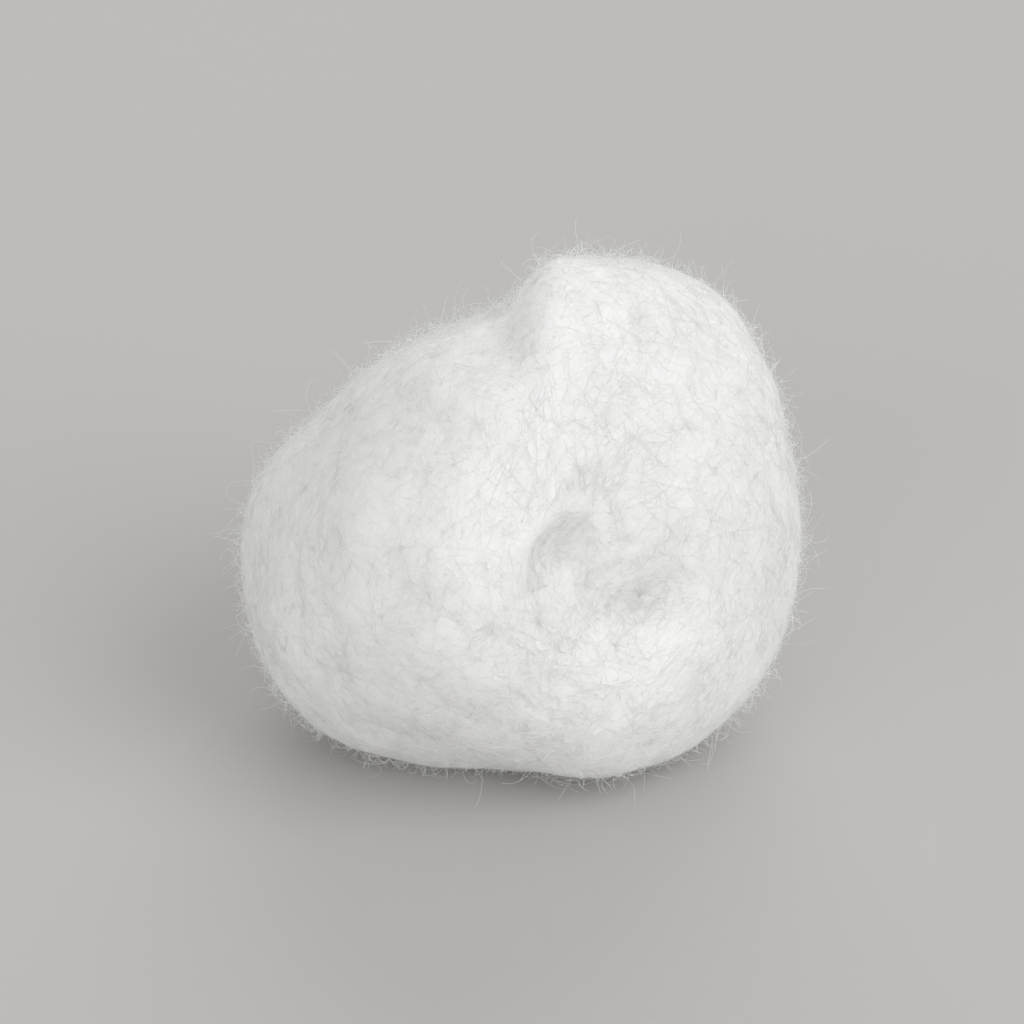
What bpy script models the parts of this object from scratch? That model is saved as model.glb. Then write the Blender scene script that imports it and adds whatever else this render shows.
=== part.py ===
"""A cotton ball: one soft web of carded cotton rolled up on itself into a short plump wad.

Metres, +Z up. The wad lies on its side on a small flat spot at z = 0, with the
middle of its bounding box over the origin. The axis of the roll runs along Y.
The larger end, where the spiral of the turns shows, faces -Y and looks up a
little, because the wad narrows towards its other end and rests on that slope.

The shape is one closed surface. A cube is gridded and blown up to a sphere, and
each of its points then gets a place by two numbers: the angle theta round the
roll, and the way v down the outline from the middle of the near end (0), over
the rim and along the side, to the middle of the far end (1).
"""

import math

import bmesh
import bpy
import numpy as np

MM = 0.001

# The roll
RADIUS = 13.8 * MM  # of the widest turn, mean
NEAR_LENGTH = 10.0 * MM  # from the widest turn to the near end's face
FAR_LENGTH = 17.3 * MM  # from the widest turn to the far end's face
NEAR_SQUARE = 2.4  # exponent of the near half's outline: 2 is an ellipse, more is boxier
FAR_SQUARE = 1.9  # exponent of the far half's outline
FAR_LEAN = (0.1 * MM, -0.7 * MM)  # how far the far end lies off the axis, across and up
NEAR_OVAL, NEAR_OVAL_AT = 0.115, math.radians(129.5)  # the near end is a leaning oval
FAR_OVAL, FAR_OVAL_AT = 0.171, math.radians(193.2)  # the far end is pinched, and lies flat
NEAR_LOBE, NEAR_LOBE_AT = 0.149, math.radians(47.7)  # the near end swells beside the loose end
FAR_DENT, FAR_DENT_AT = 0.081, math.radians(104.9)  # the top behind it is pressed in
FAR_SWELL, FAR_SWELL_AT = 0.237, math.radians(-110.7)  # and the far end is full underneath

# The outer turn's loose end: a soft step that starts at the near rim and runs aslant over the top
LAP_STEP = 3.1 * MM
LAP_AT = math.radians(118.8)  # where it meets the near rim, from +X round to +Z
LAP_SLANT = -43.2  # radians for each metre along the axis
LAP_SOFT = math.radians(9)  # half the angle over which the step falls at the near rim
LAP_SPREAD = math.radians(6.1)  # what is added to it at the far end
LAP_WAVE = math.radians(4)

# The ends' relief: the turns run inwards from the loose end as a lip that winds
# into a hollow. Two small pits lie in it, with a groove between them, and the
# web curls over one of them as a raised edge.
WIND = 0.36  # how fast the lip nears the middle: its radius falls e-fold in 1 / WIND radians
NEAR_LIP = 0.28 * MM  # height of the lip
FAR_LIP = 0.75 * MM
LIP_REACH = 0.46  # share of the radius over which it fades outwards
LIP_SOFT = 0.18  # share of a turn over which it falls
NEAR_FUNNEL = 1.3 * MM  # depth of the hollow
NEAR_FUNNEL_SPAN = (7.0 * MM, 5.0 * MM)  # its half length and half width
NEAR_FUNNEL_AT = math.radians(-40)  # the way its length runs
FAR_FUNNEL = 1.5 * MM
FAR_FUNNEL_SPAN = (4.8 * MM, 3.6 * MM)
FAR_FUNNEL_AT = math.radians(25)
NEAR_PIT = 1.25 * MM  # depth of the deeper pit
FAR_PIT = 0.4 * MM
PIT_WIDTH = 1.55 * MM
PITS_APART = 7.4 * MM
GROOVE = 0.60  # depth of the groove between the pits, as a share of the deeper one's
FIRST_PIT = 0.75  # depth of the pit under the curled edge, as a share of the other's
GROOVE_SAG = 0.7 * MM  # how far its middle hangs below the line between them
CURL = 0.34  # height of the curled edge over the other pit, as a share of the deeper one's depth
CURL_REACH = 2.5 * MM  # from the pit's middle
CURL_WIDTH = 0.85 * MM
SWIRL_OFF = (-2.1 * MM, -1.0 * MM)  # the swirl's middle, off the roll's axis
NEAR_SWIRL_AT = math.radians(30)  # where the near end's lip would meet the rim
FAR_SWIRL_AT = math.radians(102)

# How it lies
TILT = math.radians(12.8)  # of the near end's face, upwards
FLAT_CUT = 0.9 * MM  # how much of the underside is pressed flat
FLAT_BLEND = 0.45 * MM  # rounding of the flat spot's edge

# Unevenness
SOFT_LUMP = 0.85 * MM  # broad dents and swells
SOFT_LUMP_SPAN = 11.0 * MM
SMALL_LUMP = 0.22 * MM  # tufts
SMALL_LUMP_SPAN = 4.2 * MM
SEED = 7

GRID = 24  # squares along each edge of the cube


def lattice_value(ix, iy, iz, seed):
    """A repeatable number from -1 to 1 for each point of a whole-number lattice."""
    h = (
        ix.astype(np.uint32) * np.uint32(73856093)
        ^ iy.astype(np.uint32) * np.uint32(19349663)
        ^ iz.astype(np.uint32) * np.uint32(83492791)
        ^ np.uint32(seed * 2654435 + 97)
    )
    h ^= h >> np.uint32(15)
    h *= np.uint32(2246822519)
    h ^= h >> np.uint32(13)
    h *= np.uint32(3266489917)
    h ^= h >> np.uint32(16)
    return h.astype(np.float64) / 2147483647.5 - 1.0


def soft_noise(x, y, z, seed):
    """Smooth value noise from -1 to 1, one lattice cell to each unit."""
    cell = [np.floor(c).astype(np.int64) for c in (x, y, z)]
    part = [c - i for c, i in zip((x, y, z), cell)]
    ease = [t * t * t * (t * (t * 6 - 15) + 10) for t in part]
    total = np.zeros_like(np.asarray(x, float))
    for dx in (0, 1):
        for dy in (0, 1):
            for dz in (0, 1):
                weight = (
                    (ease[0] if dx else 1 - ease[0])
                    * (ease[1] if dy else 1 - ease[1])
                    * (ease[2] if dz else 1 - ease[2])
                )
                total = total + weight * lattice_value(
                    cell[0] + dx, cell[1] + dy, cell[2] + dz, seed
                )
    return total


def smooth_step(t):
    t = np.clip(t, 0.0, 1.0)
    return t * t * (3 - 2 * t)


def bump(angle, width):
    """1 where the angle is 0 or whole turns, and falling smoothly to 0 on both sides."""
    return np.exp((np.cos(angle) - 1) / width**2)


def outline():
    """The roll's half section: distance down it, radius and place along the axis."""
    turn = np.linspace(0.0, math.pi / 2, 400)
    near_r = RADIUS * np.sin(turn) ** (2 / NEAR_SQUARE)
    near_s = NEAR_LENGTH * np.cos(turn) ** (2 / NEAR_SQUARE)
    far_r = RADIUS * np.cos(turn) ** (2 / FAR_SQUARE)
    far_s = -FAR_LENGTH * np.sin(turn) ** (2 / FAR_SQUARE)
    near_r[0] = far_r[-1] = near_s[-1] = 0.0
    r = np.concatenate([near_r, far_r[1:]])
    s = np.concatenate([near_s, far_s[1:]])
    way = np.concatenate([[0.0], np.cumsum(np.hypot(np.diff(r), np.diff(s)))])
    return way / way[-1], r, s


OUTLINE = outline()


def lap_angle(s):
    """Where round the roll the outer turn ends, at this place along the axis."""
    wave = np.sin(s / (4.6 * MM) + 0.6) + 0.3 * np.sin(s / (1.9 * MM) + 2.0)
    return LAP_AT + LAP_SLANT * (NEAR_LENGTH - s) + LAP_WAVE * wave


def section(theta, s):
    """The roll's cross-section, as a factor on the radius. It is oval, with soft corners."""
    back = smooth_step((NEAR_LENGTH - s) / (NEAR_LENGTH + FAR_LENGTH))
    return (
        1
        + NEAR_LOBE * (1 - back) * bump(theta - NEAR_LOBE_AT, math.radians(26))
        - FAR_DENT * back * bump(theta - FAR_DENT_AT, math.radians(38))
        + FAR_SWELL * back * bump(theta - FAR_SWELL_AT, math.radians(40))
        + NEAR_OVAL * (1 - back) * np.cos(2 * (theta - NEAR_OVAL_AT))
        + FAR_OVAL * back * np.cos(2 * (theta - FAR_OVAL_AT))
        + 0.018 * np.cos(3 * (theta - math.radians(84)))
        + 0.014 * np.cos(4 * (theta - math.radians(20) - 0.6 * back))
        + 0.010 * np.cos(5 * (theta - math.radians(40)))
    )


def end_relief(p, q, lap, lip, funnel, span, way, pit):
    """Depth of an end's relief below its plain face, at (p, q) from the swirl's middle."""
    r = np.hypot(p, q)
    theta = np.arctan2(q, p)
    # The lip: just inside its line the face lies low, and it rises again towards the next turn.
    turns = np.log(RADIUS / np.maximum(r, 0.2 * MM)) / WIND - (theta - lap)
    turns = turns / (2 * math.pi) + 0.03 * np.sin(2 * theta + 0.8)
    inside = turns - np.floor(turns)
    low = (1 - inside) ** 1.5 * smooth_step(inside / LIP_SOFT)
    low = low * smooth_step((r - 0.8 * MM) / (1.6 * MM)) * np.exp(-((r / (LIP_REACH * RADIUS)) ** 4))
    # The hollow and its pits
    along = p * math.cos(way) + q * math.sin(way)
    across = q * math.cos(way) - p * math.sin(way)
    hollow = np.exp(-(((along / span[0]) ** 2 + (across / span[1]) ** 2) ** 1.3))
    depth = lip * low + funnel * hollow
    for side, share in ((-0.5, FIRST_PIT), (0.5, 1.0)):
        far = ((along - side * PITS_APART) ** 2 + (across * 0.8) ** 2) / PIT_WIDTH**2
        depth = depth + share * pit * np.exp(-far)
    # The groove between them
    middle = (2 * along / PITS_APART) ** 2
    sunk = across + GROOVE_SAG * (1 - middle)
    depth = depth + GROOVE * pit * np.exp(-((sunk / PIT_WIDTH) ** 2) - middle**2)
    # The curled edge, round the upper side of the shallower pit
    off = along + 0.5 * PITS_APART
    away = np.hypot(off, across)
    over = (off * math.sin(way) + across * math.cos(way)) / np.maximum(away, 0.1 * MM)
    edge = np.exp(-(((away - CURL_REACH) / CURL_WIDTH) ** 2)) * smooth_step(0.5 + 0.6 * over)
    return depth - CURL * pit * edge


def surface(theta, v):
    """Points of the wad before it is laid down: across (p), up (q) and along the axis (s)."""
    way, radii, places = OUTLINE
    r = np.interp(v, way, radii)
    s = np.interp(v, way, places)
    # The roll gets wider with each turn and drops by one step at the loose end.
    round_on = (theta - lap_angle(s)) / (2 * math.pi)
    round_on = round_on - np.floor(round_on)
    back = smooth_step((NEAR_LENGTH - s) / (NEAR_LENGTH + FAR_LENGTH))
    fall = (LAP_SOFT + LAP_SPREAD * back) / (2 * math.pi)
    drop = smooth_step((round_on - 1 + 2 * fall) / (2 * fall))
    side = smooth_step((r / RADIUS - 0.55) / 0.45)
    far_fade = smooth_step((s + FAR_LENGTH) / (0.9 * FAR_LENGTH))
    grow = LAP_STEP * (round_on - drop - 0.5) * far_fade
    wide = r * section(theta, s) + grow * side
    p = wide * np.cos(theta)
    q = wide * np.sin(theta)
    # The near face
    near = smooth_step(s / (0.55 * NEAR_LENGTH)) * smooth_step((1.04 * RADIUS - r) / (0.3 * RADIUS))
    depth = end_relief(
        p - SWIRL_OFF[0],
        q - SWIRL_OFF[1],
        NEAR_SWIRL_AT,
        NEAR_LIP,
        NEAR_FUNNEL,
        NEAR_FUNNEL_SPAN,
        NEAR_FUNNEL_AT,
        NEAR_PIT,
    )
    s = s - near * depth
    # The far face
    far = smooth_step(-s / (0.75 * FAR_LENGTH))
    depth = end_relief(
        p, q, FAR_SWIRL_AT, FAR_LIP, FAR_FUNNEL, FAR_FUNNEL_SPAN, FAR_FUNNEL_AT, FAR_PIT
    )
    s = s + far * depth
    lean = smooth_step(-s / FAR_LENGTH)
    p = p + FAR_LEAN[0] * lean
    q = q + FAR_LEAN[1] * lean
    # Broad dents and small tufts, as a drift of the points
    for size, span, seed in (
        (SOFT_LUMP, SOFT_LUMP_SPAN, SEED),
        (SMALL_LUMP, SMALL_LUMP_SPAN, SEED + 10),
    ):
        drift = [
            size * soft_noise(p / span + 3.3, q / span + 7.7, s / span + 1.9, seed + i)
            for i in range(3)
        ]
        p, q, s = p + drift[0], q + drift[1], s + drift[2]
    return p, q, s


def laid_down(p, q, s):
    """The same points in the wad's resting place, before its underside is pressed flat."""
    x = p
    y = q * math.sin(TILT) - s * math.cos(TILT)
    z = q * math.cos(TILT) + s * math.sin(TILT)
    return np.stack([x, y, z], axis=-1)


def pressed(points, floor):
    """Nothing lies below the floor, and the edge of the flat spot is rounded."""
    over = points[..., 2] - floor
    eased = (over + FLAT_BLEND) ** 2 / (4 * FLAT_BLEND)
    over = np.where(over < -FLAT_BLEND, 0.0, np.where(over < FLAT_BLEND, eased, over))
    return np.concatenate([points[..., :2], (floor + over)[..., None]], axis=-1)


def sphere_grid(squares):
    """A cube's surface gridded and blown up to a sphere, as a bmesh."""
    bm = bmesh.new()
    bmesh.ops.create_cube(bm, size=2.0)
    bmesh.ops.subdivide_edges(bm, edges=bm.edges[:], cuts=squares - 1, use_grid_fill=True)
    for vert in bm.verts:
        vert.co = [math.tan(c * math.pi / 4) for c in vert.co]
        vert.co.normalize()
    return bm


def wad(bm):
    """Places for the points of a sphere, so that they make the wad."""
    way = np.array([vert.co[:] for vert in bm.verts])
    theta = np.arctan2(way[:, 1], way[:, 0])
    v = np.arccos(np.clip(way[:, 2], -1.0, 1.0)) / math.pi
    points = laid_down(*surface(theta, v))
    floor = points[:, 2].min() + FLAT_CUT
    points = pressed(points, floor)
    low, high = points.min(axis=0), points.max(axis=0)
    return points - [(low[0] + high[0]) / 2, (low[1] + high[1]) / 2, low[2]]


def cotton_material():
    material = bpy.data.materials.new("cotton")
    material.use_nodes = True
    shader = material.node_tree.nodes["Principled BSDF"]
    shader.inputs["Base Color"].default_value = (0.93, 0.93, 0.92, 1.0)
    shader.inputs["Roughness"].default_value = 1.0
    shader.inputs["Metallic"].default_value = 0.0
    material.diffuse_color = (0.93, 0.93, 0.92, 1.0)
    return material


def main():
    for old in list(bpy.data.objects):
        bpy.data.objects.remove(old, do_unlink=True)
    bm = sphere_grid(GRID)
    for vert, place in zip(bm.verts, wad(bm)):
        vert.co = place
    bmesh.ops.triangulate(bm, faces=bm.faces[:], quad_method="SHORT_EDGE")
    bmesh.ops.recalc_face_normals(bm, faces=bm.faces[:])
    mesh = bpy.data.meshes.new("cotton_ball")
    bm.to_mesh(mesh)
    bm.free()
    mesh.shade_smooth()
    mesh.materials.append(cotton_material())
    ball = bpy.data.objects.new("cotton_ball", mesh)
    bpy.context.scene.collection.objects.link(ball)


main()
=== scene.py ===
"""The looks of the cotton ball: the web of the wad in fine relief, and the fibres that lie on it and stand off it.

Metres, in the part's own frame. The wad's outline is worked out here as in the
part's source, at the same sizes, and it gets its fine relief on a denser grid.
"""

import math

import bpy
import numpy as np
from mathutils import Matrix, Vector
from mathutils.bvhtree import BVHTree


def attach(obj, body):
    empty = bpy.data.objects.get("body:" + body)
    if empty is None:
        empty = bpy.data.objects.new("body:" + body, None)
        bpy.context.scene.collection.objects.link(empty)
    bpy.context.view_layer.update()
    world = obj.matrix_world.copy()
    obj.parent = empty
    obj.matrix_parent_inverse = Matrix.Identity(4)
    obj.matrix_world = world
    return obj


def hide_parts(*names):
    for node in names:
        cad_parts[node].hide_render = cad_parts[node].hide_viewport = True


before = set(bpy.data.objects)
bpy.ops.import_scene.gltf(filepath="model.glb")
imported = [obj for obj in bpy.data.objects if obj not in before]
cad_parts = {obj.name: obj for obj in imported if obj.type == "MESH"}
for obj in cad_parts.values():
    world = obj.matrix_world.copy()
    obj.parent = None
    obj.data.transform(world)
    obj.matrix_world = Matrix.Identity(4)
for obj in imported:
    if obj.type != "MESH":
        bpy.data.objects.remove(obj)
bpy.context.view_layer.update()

MM = 0.001

# ---------------------------------------------------------------- the wad, as in the part

RADIUS = 13.8 * MM
NEAR_LENGTH = 10.0 * MM
FAR_LENGTH = 17.3 * MM
NEAR_SQUARE = 2.4
FAR_SQUARE = 1.9
FAR_LEAN = (0.1 * MM, -0.7 * MM)
NEAR_OVAL, NEAR_OVAL_AT = 0.115, math.radians(129.5)
FAR_OVAL, FAR_OVAL_AT = 0.171, math.radians(193.2)
NEAR_LOBE, NEAR_LOBE_AT = 0.149, math.radians(47.7)
FAR_DENT, FAR_DENT_AT = 0.081, math.radians(104.9)
FAR_SWELL, FAR_SWELL_AT = 0.237, math.radians(-110.7)
LAP_STEP = 3.1 * MM
LAP_AT = math.radians(118.8)
LAP_SLANT = -43.2
LAP_SOFT = math.radians(9)
LAP_SPREAD = math.radians(6.1)
LAP_WAVE = math.radians(4)
WIND = 0.36
NEAR_LIP = 0.28 * MM
FAR_LIP = 0.75 * MM
LIP_REACH = 0.46
LIP_SOFT = 0.18
NEAR_FUNNEL = 1.3 * MM
NEAR_FUNNEL_SPAN = (7.0 * MM, 5.0 * MM)
NEAR_FUNNEL_AT = math.radians(-40)
FAR_FUNNEL = 1.5 * MM
FAR_FUNNEL_SPAN = (4.8 * MM, 3.6 * MM)
FAR_FUNNEL_AT = math.radians(25)
NEAR_PIT = 1.25 * MM
FAR_PIT = 0.4 * MM
PIT_WIDTH = 1.55 * MM
PITS_APART = 7.4 * MM
GROOVE = 0.60
FIRST_PIT = 0.75
GROOVE_SAG = 0.7 * MM
CURL = 0.34
CURL_REACH = 2.5 * MM
CURL_WIDTH = 0.85 * MM
SWIRL_OFF = (-2.1 * MM, -1.0 * MM)
NEAR_SWIRL_AT = math.radians(30)
FAR_SWIRL_AT = math.radians(102)
TILT = math.radians(12.8)
FLAT_CUT = 0.9 * MM
FLAT_BLEND = 0.45 * MM
SOFT_LUMP = 0.85 * MM
SOFT_LUMP_SPAN = 11.0 * MM
SMALL_LUMP = 0.22 * MM
SMALL_LUMP_SPAN = 4.2 * MM
SEED = 7
GRID = 24

FINE_GRID = 126  # squares along each edge of the fine surface's cube


def lattice_value(ix, iy, iz, seed):
    h = (
        ix.astype(np.uint32) * np.uint32(73856093)
        ^ iy.astype(np.uint32) * np.uint32(19349663)
        ^ iz.astype(np.uint32) * np.uint32(83492791)
        ^ np.uint32(seed * 2654435 + 97)
    )
    h ^= h >> np.uint32(15)
    h *= np.uint32(2246822519)
    h ^= h >> np.uint32(13)
    h *= np.uint32(3266489917)
    h ^= h >> np.uint32(16)
    return h.astype(np.float64) / 2147483647.5 - 1.0


def soft_noise(x, y, z, seed):
    """Smooth value noise from -1 to 1, one lattice cell to each unit."""
    cell = [np.floor(c).astype(np.int64) for c in (x, y, z)]
    part = [c - i for c, i in zip((x, y, z), cell)]
    ease = [t * t * t * (t * (t * 6 - 15) + 10) for t in part]
    total = np.zeros_like(np.asarray(x, float))
    for dx in (0, 1):
        for dy in (0, 1):
            for dz in (0, 1):
                weight = (
                    (ease[0] if dx else 1 - ease[0])
                    * (ease[1] if dy else 1 - ease[1])
                    * (ease[2] if dz else 1 - ease[2])
                )
                total = total + weight * lattice_value(
                    cell[0] + dx, cell[1] + dy, cell[2] + dz, seed
                )
    return total


def smooth_step(t):
    t = np.clip(t, 0.0, 1.0)
    return t * t * (3 - 2 * t)


def bump(angle, width):
    return np.exp((np.cos(angle) - 1) / width**2)


def outline():
    """The roll's half section: distance down it, radius and place along the axis."""
    turn = np.linspace(0.0, math.pi / 2, 400)
    near_r = RADIUS * np.sin(turn) ** (2 / NEAR_SQUARE)
    near_s = NEAR_LENGTH * np.cos(turn) ** (2 / NEAR_SQUARE)
    far_r = RADIUS * np.cos(turn) ** (2 / FAR_SQUARE)
    far_s = -FAR_LENGTH * np.sin(turn) ** (2 / FAR_SQUARE)
    near_r[0] = far_r[-1] = near_s[-1] = 0.0
    r = np.concatenate([near_r, far_r[1:]])
    s = np.concatenate([near_s, far_s[1:]])
    way = np.concatenate([[0.0], np.cumsum(np.hypot(np.diff(r), np.diff(s)))])
    return way / way[-1], r, s, way[-1]


OUTLINE = outline()


def lap_angle(s):
    """Where round the roll the outer turn ends, at this place along the axis."""
    wave = np.sin(s / (4.6 * MM) + 0.6) + 0.3 * np.sin(s / (1.9 * MM) + 2.0)
    return LAP_AT + LAP_SLANT * (NEAR_LENGTH - s) + LAP_WAVE * wave


def section(theta, s):
    back = smooth_step((NEAR_LENGTH - s) / (NEAR_LENGTH + FAR_LENGTH))
    return (
        1
        + NEAR_LOBE * (1 - back) * bump(theta - NEAR_LOBE_AT, math.radians(26))
        - FAR_DENT * back * bump(theta - FAR_DENT_AT, math.radians(38))
        + FAR_SWELL * back * bump(theta - FAR_SWELL_AT, math.radians(40))
        + NEAR_OVAL * (1 - back) * np.cos(2 * (theta - NEAR_OVAL_AT))
        + FAR_OVAL * back * np.cos(2 * (theta - FAR_OVAL_AT))
        + 0.018 * np.cos(3 * (theta - math.radians(84)))
        + 0.014 * np.cos(4 * (theta - math.radians(20) - 0.6 * back))
        + 0.010 * np.cos(5 * (theta - math.radians(40)))
    )


def turns_in(p, q, lap):
    """How many turns in from the rim a point of an end's face is, and its distance from the swirl's middle."""
    r = np.hypot(p, q)
    theta = np.arctan2(q, p)
    turns = np.log(RADIUS / np.maximum(r, 0.2 * MM)) / WIND - (theta - lap)
    return turns / (2 * math.pi) + 0.03 * np.sin(2 * theta + 0.8), r


def end_relief(p, q, lap, lip, funnel, span, way, pit):
    turns, r = turns_in(p, q, lap)
    inside = turns - np.floor(turns)
    low = (1 - inside) ** 1.5 * smooth_step(inside / LIP_SOFT)
    low = low * smooth_step((r - 0.8 * MM) / (1.6 * MM)) * np.exp(-((r / (LIP_REACH * RADIUS)) ** 4))
    along = p * math.cos(way) + q * math.sin(way)
    across = q * math.cos(way) - p * math.sin(way)
    hollow = np.exp(-(((along / span[0]) ** 2 + (across / span[1]) ** 2) ** 1.3))
    depth = lip * low + funnel * hollow
    for side, share in ((-0.5, FIRST_PIT), (0.5, 1.0)):
        far = ((along - side * PITS_APART) ** 2 + (across * 0.8) ** 2) / PIT_WIDTH**2
        depth = depth + share * pit * np.exp(-far)
    middle = (2 * along / PITS_APART) ** 2
    sunk = across + GROOVE_SAG * (1 - middle)
    depth = depth + GROOVE * pit * np.exp(-((sunk / PIT_WIDTH) ** 2) - middle**2)
    off = along + 0.5 * PITS_APART
    away = np.hypot(off, across)
    over = (off * math.sin(way) + across * math.cos(way)) / np.maximum(away, 0.1 * MM)
    edge = np.exp(-(((away - CURL_REACH) / CURL_WIDTH) ** 2)) * smooth_step(0.5 + 0.6 * over)
    return depth - CURL * pit * edge


def surface(theta, v):
    """Points of the wad before it is laid down: across (p), up (q) and along the axis (s)."""
    way, radii, places, _ = OUTLINE
    r = np.interp(v, way, radii)
    s = np.interp(v, way, places)
    round_on = (theta - lap_angle(s)) / (2 * math.pi)
    round_on = round_on - np.floor(round_on)
    back = smooth_step((NEAR_LENGTH - s) / (NEAR_LENGTH + FAR_LENGTH))
    fall = (LAP_SOFT + LAP_SPREAD * back) / (2 * math.pi)
    drop = smooth_step((round_on - 1 + 2 * fall) / (2 * fall))
    side = smooth_step((r / RADIUS - 0.55) / 0.45)
    far_fade = smooth_step((s + FAR_LENGTH) / (0.9 * FAR_LENGTH))
    grow = LAP_STEP * (round_on - drop - 0.5) * far_fade
    wide = r * section(theta, s) + grow * side
    p = wide * np.cos(theta)
    q = wide * np.sin(theta)
    near = smooth_step(s / (0.55 * NEAR_LENGTH)) * smooth_step((1.04 * RADIUS - r) / (0.3 * RADIUS))
    depth = end_relief(
        p - SWIRL_OFF[0],
        q - SWIRL_OFF[1],
        NEAR_SWIRL_AT,
        NEAR_LIP,
        NEAR_FUNNEL,
        NEAR_FUNNEL_SPAN,
        NEAR_FUNNEL_AT,
        NEAR_PIT,
    )
    s = s - near * depth
    far = smooth_step(-s / (0.75 * FAR_LENGTH))
    depth = end_relief(
        p, q, FAR_SWIRL_AT, FAR_LIP, FAR_FUNNEL, FAR_FUNNEL_SPAN, FAR_FUNNEL_AT, FAR_PIT
    )
    s = s + far * depth
    lean = smooth_step(-s / FAR_LENGTH)
    p = p + FAR_LEAN[0] * lean
    q = q + FAR_LEAN[1] * lean
    for size, span, seed in (
        (SOFT_LUMP, SOFT_LUMP_SPAN, SEED),
        (SMALL_LUMP, SMALL_LUMP_SPAN, SEED + 10),
    ):
        drift = [
            size * soft_noise(p / span + 3.3, q / span + 7.7, s / span + 1.9, seed + i)
            for i in range(3)
        ]
        p, q, s = p + drift[0], q + drift[1], s + drift[2]
    return p, q, s


def laid_down(p, q, s):
    x = p
    y = q * math.sin(TILT) - s * math.cos(TILT)
    z = q * math.cos(TILT) + s * math.sin(TILT)
    return np.stack([x, y, z], axis=-1)


def pressed(points, floor):
    over = points[..., 2] - floor
    eased = (over + FLAT_BLEND) ** 2 / (4 * FLAT_BLEND)
    over = np.where(over < -FLAT_BLEND, 0.0, np.where(over < FLAT_BLEND, eased, over))
    return np.concatenate([points[..., :2], (floor + over)[..., None]], axis=-1)


def sphere_grid(squares):
    """A cube's surface gridded and blown up to a sphere: its points, its squares, and each square's place on its side."""
    steps = np.linspace(-1.0, 1.0, squares + 1)
    a, b = np.meshgrid(steps, steps, indexing="ij")
    one = np.ones_like(a)
    sides = [
        (one, a, b),
        (-one, b, a),
        (b, one, a),
        (a, -one, b),
        (a, b, one),
        (b, a, -one),
    ]
    points = np.concatenate([np.stack(side, -1).reshape(-1, 3) for side in sides])
    index = np.arange((squares + 1) ** 2).reshape(squares + 1, squares + 1)
    square = np.stack([index[:-1, :-1], index[1:, :-1], index[1:, 1:], index[:-1, 1:]], -1)
    square = square.reshape(-1, 4)
    quads = np.concatenate([square + side * (squares + 1) ** 2 for side in range(6)])
    place = np.stack([a, b], -1).reshape(-1, 2) * 0.5 + 0.5
    corner_place = np.concatenate([place[square] for _ in range(6)])
    side_of = np.repeat(np.arange(6), len(square))
    key = np.round(points * squares * 2).astype(np.int64) + 4 * squares
    key = (key[:, 0] * 8 * squares + key[:, 1]) * 8 * squares + key[:, 2]
    _, first, again = np.unique(key, return_index=True, return_inverse=True)
    points, quads = points[first], again.reshape(-1)[quads]
    points = np.tan(points * math.pi / 4)
    points /= np.linalg.norm(points, axis=1)[:, None]
    return points, quads, corner_place, side_of


def angles_of(way):
    theta = np.arctan2(way[:, 1], way[:, 0])
    v = np.arccos(np.clip(way[:, 2], -1.0, 1.0)) / math.pi
    return theta, v


def unit(vectors):
    return vectors / np.maximum(np.linalg.norm(vectors, axis=-1), 1e-12)[..., None]


def point_normals(points, quads):
    a, b, c, d = (points[quads[:, i]] for i in range(4))
    face = np.cross(c - a, d - b)
    normals = np.zeros_like(points)
    for i in range(4):
        np.add.at(normals, quads[:, i], face)
    return unit(normals)


# The part's own grid gives the height of the floor and the middle of the box.
coarse = laid_down(*surface(*angles_of(sphere_grid(GRID)[0])))
FLOOR = coarse[:, 2].min() + FLAT_CUT
coarse = pressed(coarse, FLOOR)
coarse_low, coarse_high = coarse.min(axis=0), coarse.max(axis=0)
SHIFT = np.array(
    [
        (coarse_low[0] + coarse_high[0]) / 2,
        (coarse_low[1] + coarse_high[1]) / 2,
        coarse_low[2],
    ]
)


def placed(theta, v):
    return laid_down(*surface(theta, v)) - SHIFT


# ---------------------------------------------------------------- the fine surface

ball, quads, corner_place, side_of = sphere_grid(FINE_GRID)
theta, v = angles_of(ball)
LENGTH = OUTLINE[3]
base = placed(theta, v)
if np.einsum("ij,ij->i", point_normals(base, quads), base - base.mean(axis=0)).mean() < 0:
    quads = quads[:, ::-1]
    corner_place = corner_place[:, ::-1]
normals = point_normals(base, quads)

p, q, s = surface(theta, v)
on_near = smooth_step((s - 0.35 * NEAR_LENGTH) / (0.5 * NEAR_LENGTH))
on_far = smooth_step((-s - 0.62 * FAR_LENGTH) / (0.3 * FAR_LENGTH))
swirl_p, swirl_q = p - SWIRL_OFF[0] * on_near, q - SWIRL_OFF[1] * on_near
swirl_r = np.hypot(swirl_p, swirl_q)

# Which way the web runs: round the roll, and on the ends inwards along the spiral.
step = 0.004
round_way = unit(placed(theta + step, v) - placed(theta - step, v))
down_way = unit(
    placed(theta, np.clip(v + 0.002, 0, 1)) - placed(theta, np.clip(v - 0.002, 0, 1))
)
slant = 0.35 * soft_noise(p / (7 * MM), q / (7 * MM), s / (7 * MM), 31)
inwards = WIND * (on_far - on_near) + slant * (1 - on_near) * (1 - on_far)
flow = unit(round_way + inwards[:, None] * down_way)

# A field that changes slowly along the web and fast across it, for everything streaky.
warp = soft_noise(p / (5 * MM), q / (5 * MM), s / (5 * MM), 41) * 1.6 * MM
warp = warp + soft_noise(p / (1.9 * MM), q / (1.9 * MM), s / (1.9 * MM), 42) * 0.45 * MM
across_web = v * LENGTH + warp


def streaks(along, across, seed):
    """Noise drawn out along the web: `along` and `across` are its grain's length and width."""
    return soft_noise(swirl_p / along, swirl_q / along, across_web / across, seed)


def isotropic(span, seed):
    return soft_noise(p / span + 0.37, q / span + 5.1, s / span + 2.3, seed)


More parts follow.
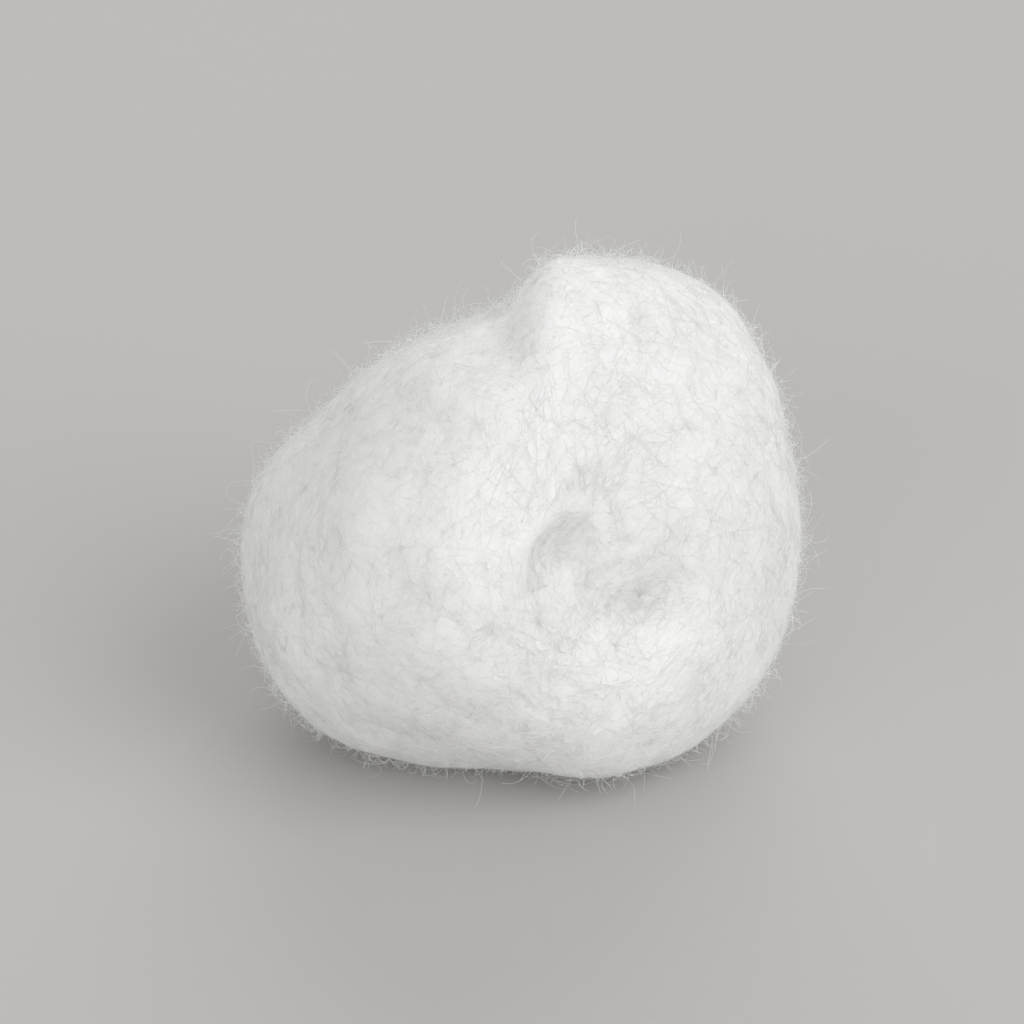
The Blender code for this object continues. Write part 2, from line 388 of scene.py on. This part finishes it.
def crease(value, soft):
    """A soft crease wherever the value passes through 0: 0 there, rising to both sides."""
    return np.sqrt(value**2 + soft**2) - soft


# Folds of the web, where its layers bunch: wide swells parted by narrow soft creases
fold = crease(streaks(8.0 * MM, 3.4 * MM, 51), 0.16)
fold_mask = smooth_step((isotropic(5.5 * MM, 52) + 0.35) / 0.7)
relief = 0.17 * MM * (fold - 0.3) * (0.3 + 0.7 * fold_mask)
# Loose turns on the ends: faint steps between the deep lip's turns
for amount, mask in ((0.10 * MM, on_near), (0.10 * MM, on_far)):
    turns, _ = turns_in(swirl_p, swirl_q, NEAR_SWIRL_AT)
    relief += amount * mask * crease(soft_noise(turns * 4.0, 0.4 * theta, 0 * theta, 57), 0.12)
# Puckers that run into the hollows
pucker = crease(
    soft_noise(np.cos(np.arctan2(swirl_q, swirl_p)) * 3.2, np.sin(np.arctan2(swirl_q, swirl_p)) * 3.2, swirl_r / (5 * MM), 58),
    0.12,
)
pucker_mask = (on_near + on_far) * np.exp(-((swirl_r / (5.0 * MM)) ** 2)) * smooth_step(swirl_r / (1.2 * MM))
relief += 0.14 * MM * (pucker - 0.25) * pucker_mask
# Tufts
relief += 0.065 * MM * isotropic(2.6 * MM, 61)
relief += 0.026 * MM * isotropic(1.3 * MM, 62)
relief += 0.013 * MM * isotropic(0.68 * MM, 63)
# Streaks of fibre
relief += 0.022 * MM * streaks(4.5 * MM, 1.0 * MM, 71)
relief += 0.013 * MM * streaks(3.0 * MM, 0.55 * MM, 72)
relief += 0.008 * MM * streaks(2.2 * MM, 0.36 * MM, 73)

near_floor = smooth_step((base[:, 2] + 0.2 * MM) / (1.6 * MM))
skin = base + normals * (relief * (0.25 + 0.75 * near_floor))[:, None]
skin = pressed(skin, 0.0)
skin_normals = point_normals(skin, quads)


def new_mesh(name, points, faces_of, smooth=True):
    """A mesh from points and a list of face arrays, each of one corner count."""
    mesh = bpy.data.meshes.new(name)
    corners = np.concatenate([faces.reshape(-1) for faces in faces_of]).astype(np.int32)
    sizes = np.concatenate([np.full(len(faces), faces.shape[1]) for faces in faces_of])
    starts = np.concatenate([[0], np.cumsum(sizes)[:-1]]).astype(np.int32)
    mesh.vertices.add(len(points))
    mesh.vertices.foreach_set("co", np.asarray(points, np.float32).reshape(-1))
    mesh.loops.add(len(corners))
    mesh.loops.foreach_set("vertex_index", corners)
    mesh.polygons.add(len(sizes))
    mesh.polygons.foreach_set("loop_start", starts)
    mesh.update(calc_edges=True)
    mesh.validate()
    if smooth:
        mesh.shade_smooth()
    return mesh


def add_object(name, mesh):
    made = bpy.data.objects.new(name, mesh)
    bpy.context.scene.collection.objects.link(made)
    return made


def set_map(mesh, places):
    layer = mesh.uv_layers.new(name="OFBake")
    layer.uv.foreach_set("vector", np.asarray(places, np.float32).reshape(-1))


def set_vectors(mesh, name, values):
    layer = mesh.attributes.new(name, "FLOAT_VECTOR", "POINT")
    layer.data.foreach_set("vector", np.asarray(values, np.float32).reshape(-1))


web_mesh = new_mesh("cotton_web", skin, [quads])
margin = 0.012
cell = np.stack([side_of % 3, side_of // 3], -1)[:, None, :]
map_places = (cell + margin + corner_place * (1 - 2 * margin)) / [3.0, 2.0]
set_map(web_mesh, map_places)
# The streaky field in millimetres, for the material's finest grain
set_vectors(web_mesh, "web_grain", np.stack([swirl_p, swirl_q, across_web], -1) / MM)

# ---------------------------------------------------------------- fibres

rng = np.random.default_rng(485)

tree = BVHTree.FromPolygons(skin.tolist(), quads.tolist(), all_triangles=False, epsilon=0.0)
corner = [skin[quads[:, i]] for i in range(4)]
quad_area = 0.5 * np.linalg.norm(np.cross(corner[2] - corner[0], corner[3] - corner[1]), axis=1)
quad_area = quad_area * (skin[quads].mean(axis=1)[:, 2] > 0.35 * MM)
quad_share = quad_area / quad_area.sum()
base_normals = point_normals(base, quads)
quad_normal = unit(base_normals[quads].mean(axis=1))
quad_flow = unit(flow[quads].mean(axis=1))


def settled(points):
    """The nearest points of the skin, and the squares they are on."""
    found = np.empty((len(points), 3))
    index = np.empty(len(points), np.int64)
    nearest = tree.find_nearest
    for i, point in enumerate(points.tolist()):
        place, _, square, _ = nearest(point)
        found[i] = place
        index[i] = square
    return found, index


def roots(count, share=None):
    """Random places on the skin, by area, and the squares they are on."""
    chosen = rng.choice(len(quads), count, p=quad_share if share is None else share)
    a, b = rng.random((2, count))[..., None]
    c = [skin[quads[chosen, i]] for i in range(4)]
    return (c[0] * (1 - a) + c[1] * a) * (1 - b) + (c[3] * (1 - a) + c[2] * a) * b, chosen


def lying(count, reach, spread, stray, height, points, share=None):
    """Fibres that follow the skin: they dip in at their ends and rise by `height` between."""
    start, square = roots(count, share)
    length = rng.uniform(*reach, count)
    turn = rng.normal(0, spread, count)
    turn = np.where(rng.random(count) < stray, rng.uniform(-1.6, 1.6, count), turn)
    swing = rng.normal(0, 0.26, count)  # it bends the same way all along
    normal, run = quad_normal[square], quad_flow[square]
    side = unit(np.cross(normal, run))
    ahead = unit(run * np.cos(turn)[:, None] + side * np.sin(turn)[:, None])
    stride = (length / (points - 1))[:, None]
    at = [start]
    ups = [normal]
    for way in (1, -1):
        here, heading, up = start, ahead * way, normal
        ring = []
        above = []
        for _ in range((points - 1) // 2):
            here, square = settled(here + heading * stride)
            up = quad_normal[square]
            bend = swing * way + rng.normal(0, 0.22, count)
            side = np.cross(up, heading)
            heading = unit(heading * np.cos(bend)[:, None] + side * np.sin(bend)[:, None])
            heading = unit(heading - up * np.einsum("ij,ij->i", heading, up)[:, None])
            ring.append(here)
            above.append(up)
        if way == 1:
            at, ups = at + ring, ups + above
        else:
            at, ups = ring[::-1] + at, above[::-1] + ups
    path, up = np.stack(at, 1), np.stack(ups, 1)
    t = np.linspace(-1, 1, path.shape[1])
    arch = (1 - t**2)[None, :]
    lift = rng.uniform(*height, count)[:, None] * arch - 0.03 * MM
    lift = lift + rng.normal(0, 0.012 * MM, lift.shape) * arch
    return path + up * lift[..., None]


def standing(start, square, length, rise, turn, curl, droop, points):
    """Fibres rooted in the skin that leave it at an angle and bend over."""
    count = len(start)
    normal, run = quad_normal[square], quad_flow[square]
    side = unit(np.cross(normal, run))
    ahead = run * np.cos(turn)[:, None] + side * np.sin(turn)[:, None]
    heading = unit(ahead * np.cos(rise)[:, None] + normal * np.sin(rise)[:, None])
    axis = unit(rng.normal(0, 1, (count, 3)))
    stride = (length / (points - 1))[:, None]
    here = start - heading * 0.08 * MM
    path = [here]
    for k in range(points - 1):
        here = here + heading * stride
        path.append(here)
        swing = (curl / (points - 1) + rng.normal(0, 0.13, count))[:, None]
        heading = unit(heading + np.cross(axis, heading) * swing - normal * (droop / (points - 1))[:, None])
    return np.stack(path, 1)


def above_floor(path, gap=0.03 * MM):
    """Fibres bend up along the floor and don't pass through it."""
    z = path[..., 2] - gap
    soft = 0.25 * MM
    z = np.where(z < soft, soft * np.exp(np.minimum(z / soft - 1, 0)), z)
    return np.concatenate([path[..., :2], (z + gap)[..., None]], -1)


def tubes(paths, radius):
    """Closed three-sided tubes that run to a point at both ends: points, three-cornered and four-cornered faces, map places."""
    count, n, _ = paths.shape
    along = np.empty_like(paths)
    along[:, 1:-1] = paths[:, 2:] - paths[:, :-2]
    along[:, 0] = paths[:, 1] - paths[:, 0]
    along[:, -1] = paths[:, -1] - paths[:, -2]
    along = unit(along)
    out = np.cross(along[:, 0], unit(rng.normal(0, 1, (count, 3))))
    rings = []
    for k in range(1, n - 1):
        out = unit(out - along[:, k] * np.einsum("ij,ij->i", out, along[:, k])[:, None])
        other = np.cross(along[:, k], out)
        thick = radius * (0.72 + 0.28 * math.sin(math.pi * k / (n - 1)))
        ring = [
            paths[:, k]
            + thick[:, None] * (out * math.cos(a) + other * math.sin(a))
            for a in (0, 2 * math.pi / 3, 4 * math.pi / 3)
        ]
        rings.append(np.stack(ring, 1))
    points = np.concatenate(
        [paths[:, :1], np.concatenate(rings, 1), paths[:, -1:]], axis=1
    )
    per = points.shape[1]
    tris, quads_ = [], []
    tri_map, quad_map = [], []
    last = per - 1
    for j in range(3):
        k = (j + 1) % 3
        tris.append([0, 1 + k, 1 + j])
        tri_map.append([(0, (j + 0.5) / 3), (1, (j + 1) / 3), (1, j / 3)])
        end = 1 + 3 * (n - 3)
        tris.append([last, end + j, end + k])
        tri_map.append([(n - 1, (j + 0.5) / 3), (n - 2, j / 3), (n - 2, (j + 1) / 3)])
        for ring in range(n - 3):
            a = 1 + 3 * ring
            quads_.append([a + j, a + k, a + 3 + k, a + 3 + j])
            quad_map.append(
                [
                    (ring + 1, j / 3),
                    (ring + 1, (j + 1) / 3),
                    (ring + 2, (j + 1) / 3),
                    (ring + 2, j / 3),
                ]
            )
    offset = (np.arange(count) * per)[:, None, None]
    tris = (np.array(tris)[None] + offset).reshape(-1, 3)
    quads_ = (np.array(quads_)[None] + offset).reshape(-1, 4)
    tri_map = np.array(tri_map, float) / [n - 1, 1]
    quad_map = np.array(quad_map, float) / [n - 1, 1]
    return points.reshape(-1, 3), tris, quads_, tri_map, quad_map, per


def fibre_piece(name, groups):
    """One mesh of many fibres. Each group is their paths and their radii."""
    total = sum(len(paths) for paths, _ in groups)
    across = math.ceil(math.sqrt(total))
    points, tris, quads_, tri_maps, quad_maps, tints = [], [], [], [], [], []
    first_point = first_fibre = 0
    for paths, radius in groups:
        made, three, four, three_map, four_map, per = tubes(paths, radius)
        cell = first_fibre + np.arange(len(paths))
        cell = np.stack([cell % across, cell // across], -1)[:, None, None, :]
        for maps, one in ((tri_maps, three_map), (quad_maps, four_map)):
            maps.append(((cell + 0.1 + 0.8 * one[None]) / across).reshape(-1, 2))
        points.append(made)
        tris.append(three + first_point)
        quads_.append(four + first_point)
        tints.append(np.repeat(rng.random(len(paths)), per))
        first_point += len(made)
        first_fibre += len(paths)
    mesh = new_mesh(name, np.concatenate(points), [np.concatenate(tris), np.concatenate(quads_)])
    set_map(mesh, np.concatenate([np.concatenate(tri_maps), np.concatenate(quad_maps)]))
    tint = mesh.attributes.new("tint", "FLOAT", "POINT")
    tint.data.foreach_set("value", np.concatenate(tints).astype(np.float32))
    made = add_object(name, mesh)
    count = sum(len(t) for t in tris) + 2 * sum(len(f) for f in quads_)
    print(f"{name}: {total} fibres, {count} triangles")
    return made


def radii(count, mean):
    return mean * rng.uniform(0.8, 1.2, count)


pieces = []

# Fibres of the outer layer: more of them run along the web than across it
for number in range(2):
    layer = [
        (lying(5200, (1.6 * MM, 3.6 * MM), 0.75, 0.50, (0.02 * MM, 0.07 * MM), 5), 0.010 * MM),
        (lying(3400, (3.0 * MM, 5.6 * MM), 0.70, 0.40, (0.03 * MM, 0.13 * MM), 7), 0.010 * MM),
    ]
    layer = [(above_floor(paths), radii(len(paths), mean)) for paths, mean in layer]
    pieces.append(fibre_piece(f"web_fibres_{number + 1}", layer))

# Fuzz: short curly fibres that stand off the skin all over, and longer ones among them
for number in range(2):
    start, square = roots(6300)
    short = standing(
        start,
        square,
        rng.uniform(0.5 * MM, 1.5 * MM, 6300),
        rng.uniform(0.1, 1.1, 6300),
        rng.uniform(-math.pi, math.pi, 6300),
        rng.uniform(-2.4, 2.4, 6300),
        rng.uniform(0.0, 1.6, 6300),
        5,
    )
    start, square = roots(1500)
    longer = standing(
        start,
        square,
        rng.uniform(1.4 * MM, 3.4 * MM, 1500),
        rng.uniform(0.1, 0.8, 1500),
        rng.uniform(-math.pi, math.pi, 1500),
        rng.uniform(-4.2, 4.2, 1500),
        rng.uniform(0.4, 2.6, 1500),
        9,
    )
    fuzz = [short, longer]
    if number == 1:
        # Wisps: small locks of fibre that part from the web together
        lock_start, lock_square = roots(40)
        locks = []
        for at, on in zip(lock_start, lock_square):
            size = int(rng.integers(7, 13))
            here, squares = settled(at + rng.normal(0, 0.30 * MM, (size, 3)))
            aim = rng.uniform(-math.pi, math.pi)
            paths = standing(
                here,
                np.full(size, on),
                rng.uniform(0.6, 1.2, size) * rng.uniform(1.2 * MM, 2.4 * MM),
                rng.uniform(0.1, 0.5) + rng.normal(0, 0.12, size),
                aim + rng.normal(0, 0.22, size),
                np.full(size, rng.uniform(-1.2, 1.2)) + rng.normal(0, 0.4, size),
                np.full(size, rng.uniform(0.3, 1.2)),
                9,
            )
            middle = paths.mean(axis=0, keepdims=True)
            close = (np.linspace(0, 1, 9) ** 1.5 * 0.35)[None, :, None]
            locks.append(paths * (1 - close) + middle * close)
        fuzz.append(np.concatenate(locks))
    loose = [(above_floor(paths), radii(len(paths), 0.0085 * MM)) for paths in fuzz]
    pieces.append(fibre_piece(f"loose_fibres_{number + 1}", loose))

# ---------------------------------------------------------------- materials


def node(tree_, kind, **values):
    made = tree_.nodes.new(kind)
    for name, value in values.items():
        setattr(made, name, value)
    return made


def set_cotton(shader):
    shader.inputs["Metallic"].default_value = 0.0
    shader.inputs["Roughness"].default_value = 1.0
    shader.inputs["Specular IOR Level"].default_value = 0.15


def web_material():
    material = bpy.data.materials.new("cotton_web")
    material.use_nodes = True
    nodes, links = material.node_tree, material.node_tree.links
    shader = nodes.nodes["Principled BSDF"]
    set_cotton(shader)
    shader.inputs["Subsurface Weight"].default_value = 0.45
    shader.inputs["Subsurface Radius"].default_value = (1.0, 0.97, 0.93)
    shader.inputs["Subsurface Scale"].default_value = 2.0 * MM
    shader.inputs["Sheen Weight"].default_value = 0.25
    shader.inputs["Sheen Roughness"].default_value = 0.6

    grain = node(nodes, "ShaderNodeAttribute", attribute_name="web_grain")
    place = node(nodes, "ShaderNodeTexCoord")

    # Thicker and thinner places of the web
    patches = node(nodes, "ShaderNodeTexNoise", noise_dimensions="3D")
    patches.inputs["Scale"].default_value = 260.0
    patches.inputs["Detail"].default_value = 4.0
    patches.inputs["Roughness"].default_value = 0.6
    links.new(place.outputs["Object"], patches.inputs["Vector"])
    colour = node(nodes, "ShaderNodeValToRGB")
    colour.color_ramp.elements[0].position = 0.32
    colour.color_ramp.elements[0].color = (0.934, 0.932, 0.925, 1.0)
    colour.color_ramp.elements[1].position = 0.66
    colour.color_ramp.elements[1].color = (0.960, 0.960, 0.960, 1.0)
    links.new(patches.outputs["Fac"], colour.inputs["Fac"])
    links.new(colour.outputs["Color"], shader.inputs["Base Color"])

    # The finest grain: fibres side by side along the web, and a felt of crossing ones
    def layer(scales, scale, detail):
        stretch = node(nodes, "ShaderNodeMapping")
        stretch.inputs["Scale"].default_value = scales
        links.new(grain.outputs["Vector"], stretch.inputs["Vector"])
        noise = node(nodes, "ShaderNodeTexNoise", noise_dimensions="3D")
        noise.inputs["Scale"].default_value = scale
        noise.inputs["Detail"].default_value = detail
        noise.inputs["Roughness"].default_value = 0.65
        links.new(stretch.outputs["Vector"], noise.inputs["Vector"])
        return noise.outputs["Fac"]

    strands = layer((0.45, 0.45, 5.0), 1.0, 3.0)
    felt = node(nodes, "ShaderNodeTexNoise", noise_dimensions="3D")
    felt.inputs["Scale"].default_value = 2600.0
    felt.inputs["Detail"].default_value = 3.0
    felt.inputs["Roughness"].default_value = 0.7
    links.new(place.outputs["Object"], felt.inputs["Vector"])
    first = node(nodes, "ShaderNodeBump")
    first.inputs["Strength"].default_value = 0.28
    first.inputs["Distance"].default_value = 0.10 * MM
    links.new(strands, first.inputs["Height"])
    second = node(nodes, "ShaderNodeBump")
    second.inputs["Strength"].default_value = 0.28
    second.inputs["Distance"].default_value = 0.07 * MM
    links.new(felt.outputs["Fac"], second.inputs["Height"])
    links.new(first.outputs["Normal"], second.inputs["Normal"])
    links.new(second.outputs["Normal"], shader.inputs["Normal"])
    return material


def fibre_material():
    material = bpy.data.materials.new("cotton_fibre")
    material.use_nodes = True
    nodes, links = material.node_tree, material.node_tree.links
    shader = nodes.nodes["Principled BSDF"]
    set_cotton(shader)
    shader.inputs["Roughness"].default_value = 0.75
    shader.inputs["Sheen Weight"].default_value = 0.2
    tint = node(nodes, "ShaderNodeAttribute", attribute_name="tint")
    colour = node(nodes, "ShaderNodeValToRGB")
    colour.color_ramp.elements[0].color = (0.955, 0.953, 0.946, 1.0)
    colour.color_ramp.elements[1].color = (0.985, 0.985, 0.985, 1.0)
    links.new(tint.outputs["Fac"], colour.inputs["Fac"])
    links.new(colour.outputs["Color"], shader.inputs["Base Color"])
    return material


web = add_object("cotton_web", web_mesh)
web_mesh.materials.append(web_material())
fibre_look = fibre_material()
for piece in pieces:
    piece.data.materials.append(fibre_look)

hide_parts("cotton_ball")
for piece in [web] + pieces:
    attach(piece, "root")

# ---------------------------------------------------------------- floor, light and camera


def floor_material():
    material = bpy.data.materials.new("floor")
    material.use_nodes = True
    shader = material.node_tree.nodes["Principled BSDF"]
    shader.inputs["Base Color"].default_value = (0.54, 0.533, 0.522, 1.0)
    shader.inputs["Roughness"].default_value = 0.9
    shader.inputs["Specular IOR Level"].default_value = 0.1
    return material


half = 30.0
floor_mesh = new_mesh(
    "floor",
    np.array([[-half, -half, 0], [half, -half, 0], [half, half, 0], [-half, half, 0]]),
    [np.array([[0, 1, 2, 3]])],
    smooth=False,
)
floor_mesh.materials.append(floor_material())
floor = add_object("floor", floor_mesh)
floor.location.z = -0.02 * MM


def soft_light(name, way, spread, power):
    """A light from far off, as wide as `spread` degrees of the sky."""
    light = bpy.data.lights.new(name, "SUN")
    light.angle = math.radians(spread)
    light.energy = power
    made = bpy.data.objects.new(name, light)
    bpy.context.scene.collection.objects.link(made)
    way = Vector(way).normalized()
    made.location = way * 0.6
    made.rotation_mode = "QUATERNION"
    made.rotation_quaternion = way.to_track_quat("Z", "Y")
    return made


soft_light("key", (0.25, -0.85, 0.80), 44, 0.95)
soft_light("left", (-0.95, -0.50, 0.14), 60, 1.0)
soft_light("low", (0.2, -1.0, 0.06), 60, 0.45)
soft_light("back", (0.75, 0.80, 0.62), 50, 0.80)

world = bpy.data.worlds.new("studio")
world.use_nodes = True
world.node_tree.nodes["Background"].inputs["Color"].default_value = (1.0, 0.997, 0.985, 1.0)
world.node_tree.nodes["Background"].inputs["Strength"].default_value = 0.53
bpy.context.scene.world = world
bpy.context.scene.view_settings.view_transform = "Standard"
bpy.context.scene.view_settings.look = "None"

camera_data = bpy.data.cameras.new("camera")
camera_data.lens = 200.0
camera_data.sensor_width = 36.0
camera_data.clip_start = 0.01
camera_data.clip_end = 100.0
camera = bpy.data.objects.new("camera", camera_data)
bpy.context.scene.collection.objects.link(camera)
bpy.context.scene.camera = camera
azimuth, elevation = math.radians(-36), math.radians(30)
back_way = Vector(
    (
        math.sin(azimuth) * math.cos(elevation),
        -math.cos(azimuth) * math.cos(elevation),
        math.sin(elevation),
    )
)
target = Vector((0.0, 0.0, 0.0128))
camera.location = target + back_way * 0.304
camera.rotation_mode = "QUATERNION"
camera.rotation_quaternion = back_way.to_track_quat("Z", "Y")
